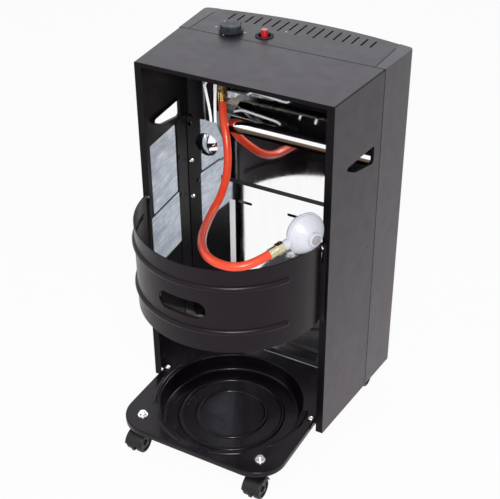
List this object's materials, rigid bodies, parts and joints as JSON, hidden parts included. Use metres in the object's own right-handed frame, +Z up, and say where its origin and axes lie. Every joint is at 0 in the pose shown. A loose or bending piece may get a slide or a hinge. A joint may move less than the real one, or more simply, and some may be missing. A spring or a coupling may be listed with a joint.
{
  "type": "portable gas cabinet heater",
  "caption": "Upright gas heater cabinet on swivel casters with a bowed radiant front, top control panel, and an open rear bay for a gas bottle with a swinging belt, hose and regulator.",
  "frame": {"origin": "on the floor, under the centre of the whole heater's box", "axes": "+Z up, -Y to the bowed radiant front, +Y to the open rear, +X to the control knob's side"},
  "size_m": [0.4166, 0.475, 0.7456],
  "materials": {
    "grey_enamel": "satin dark grey enamel",
    "black_enamel": "gloss black enamel",
    "bright_steel": "bright aluminised sheet",
    "guard_wire": "bright plated wire",
    "plaque_ceramic": "bare fired ceramic",
    "plain_steel": "plain steel",
    "valve_casting": "die-cast, plain",
    "brass": "turned brass",
    "dark_plastic": "dark moulded plastic",
    "red_plastic": "glossy red",
    "pale_plastic": "pale grey moulded plastic",
    "lead_sleeve": "white woven sleeve",
    "orange_rubber": "smooth orange gas hose",
    "regulator_casting": "pale grey coated casting",
    "zinc": "zinc plated",
    "wheel_plastic": "black moulded wheel"
  },
  "bodies": {
    "cabinet": {"hood": "grey_enamel", "front_casing": "grey_enamel", "control_panel": "grey_enamel", "base_plate": "black_enamel", "rear_heat_shield": "bright_steel", "burner_rear_cover": "bright_steel", "burner_reflector": "bright_steel", "wire_guard": "guard_wire", "plaque_left": "plaque_ceramic", "plaque_centre": "plaque_ceramic", "plaque_right": "plaque_ceramic", "plenum_left": "plain_steel", "plenum_centre": "plain_steel", "plenum_right": "plain_steel", "gas_manifold": "plain_steel", "injectors": "brass", "supply_tube": "plain_steel", "gas_valve": "valve_casting", "inlet_elbow": "plain_steel", "hose_nozzle": "brass", "igniter_bezel": "dark_plastic", "igniter_unit": "dark_plastic", "pilot_burner": "plain_steel", "pilot_tube": "plain_steel", "thermocouple": "plain_steel", "thermocouple_lead": "lead_sleeve", "spark_electrode": "plaque_ceramic", "igniter_lead": "lead_sleeve", "gas_hose": "orange_rubber", "regulator_body": "regulator_casting", "regulator_dome": "regulator_casting", "regulator_cap": "pale_plastic", "regulator_nut": "brass", "hose_ferrule": "brass", "belt_hinge_pin": "zinc", "belt_hinge_lugs": "grey_enamel", "belt_latch_stud": "zinc", "caster_stems": "zinc", "caster_nuts": "zinc", "plate_bolts": "zinc", "side_screws": "zinc", "shield_screws": "zinc"},
    "valve_plug": {"valve_plug": "brass"},
    "knob": {"control_knob": "dark_plastic", "valve_stem": "plain_steel"},
    "igniter_button": {"igniter_button": "red_plastic"},
    "belt": {"retaining_belt": "grey_enamel"},
    "caster_rear_left": {"caster_hood_rear_left": "dark_plastic", "caster_axle_rear_left": "zinc"},
    "wheels_rear_left": {"caster_wheels_rear_left": "wheel_plastic"},
    "caster_rear_right": {"caster_hood_rear_right": "dark_plastic", "caster_axle_rear_right": "zinc"},
    "wheels_rear_right": {"caster_wheels_rear_right": "wheel_plastic"},
    "caster_front_left": {"caster_hood_front_left": "dark_plastic", "caster_axle_front_left": "zinc"},
    "wheels_front_left": {"caster_wheels_front_left": "wheel_plastic"},
    "caster_front_right": {"caster_hood_front_right": "dark_plastic", "caster_axle_front_right": "zinc"},
    "wheels_front_right": {"caster_wheels_front_right": "wheel_plastic"}
  },
  "joints": [
    {"name": "knob_turn", "type": "hinge", "parent": "cabinet", "child": "valve_plug", "pos_m": [0.106, -0.1285, 0.706], "axis": [0, 0, 1], "range_deg": [0, 225]},
    {"name": "knob_push", "type": "slide", "parent": "valve_plug", "child": "knob", "axis": [0, 0, -1], "range_m": [0, 0.003], "stiffness_N_per_m": 1500, "springref_m": -0.002},
    {"name": "igniter_press", "type": "slide", "parent": "cabinet", "child": "igniter_button", "axis": [0, 0, -1], "range_m": [0, 0.006], "stiffness_N_per_m": 1200, "springref_m": -0.002},
    {"name": "belt_swing", "type": "hinge", "parent": "cabinet", "child": "belt", "pos_m": [0.172, 0.068, 0.4], "axis": [0, 0, -1], "range_deg": [0, 85]},
    {"name": "swivel_rear_left", "type": "hinge", "parent": "cabinet", "child": "caster_rear_left", "pos_m": [0.127, 0.1965, 0.055], "axis": [0, 0, 1], "continuous": true},
    {"name": "roll_rear_left", "type": "hinge", "parent": "caster_rear_left", "child": "wheels_rear_left", "pos_m": [0.127, 0.2145, 0.02], "axis": [1, 0, 0], "continuous": true},
    {"name": "swivel_rear_right", "type": "hinge", "parent": "cabinet", "child": "caster_rear_right", "pos_m": [-0.127, 0.1965, 0.055], "axis": [0, 0, 1], "continuous": true},
    {"name": "roll_rear_right", "type": "hinge", "parent": "caster_rear_right", "child": "wheels_rear_right", "pos_m": [-0.127, 0.2145, 0.02], "axis": [1, 0, 0], "continuous": true},
    {"name": "swivel_front_left", "type": "hinge", "parent": "cabinet", "child": "caster_front_left", "pos_m": [0.168, -0.1815, 0.055], "axis": [0, 0, 1], "continuous": true},
    {"name": "roll_front_left", "type": "hinge", "parent": "caster_front_left", "child": "wheels_front_left", "pos_m": [0.168, -0.1635, 0.02], "axis": [1, 0, 0], "continuous": true},
    {"name": "swivel_front_right", "type": "hinge", "parent": "cabinet", "child": "caster_front_right", "pos_m": [-0.168, -0.1815, 0.055], "axis": [0, 0, 1], "continuous": true},
    {"name": "roll_front_right", "type": "hinge", "parent": "caster_front_right", "child": "wheels_front_right", "pos_m": [-0.168, -0.1635, 0.02], "axis": [1, 0, 0], "continuous": true}
  ]
}
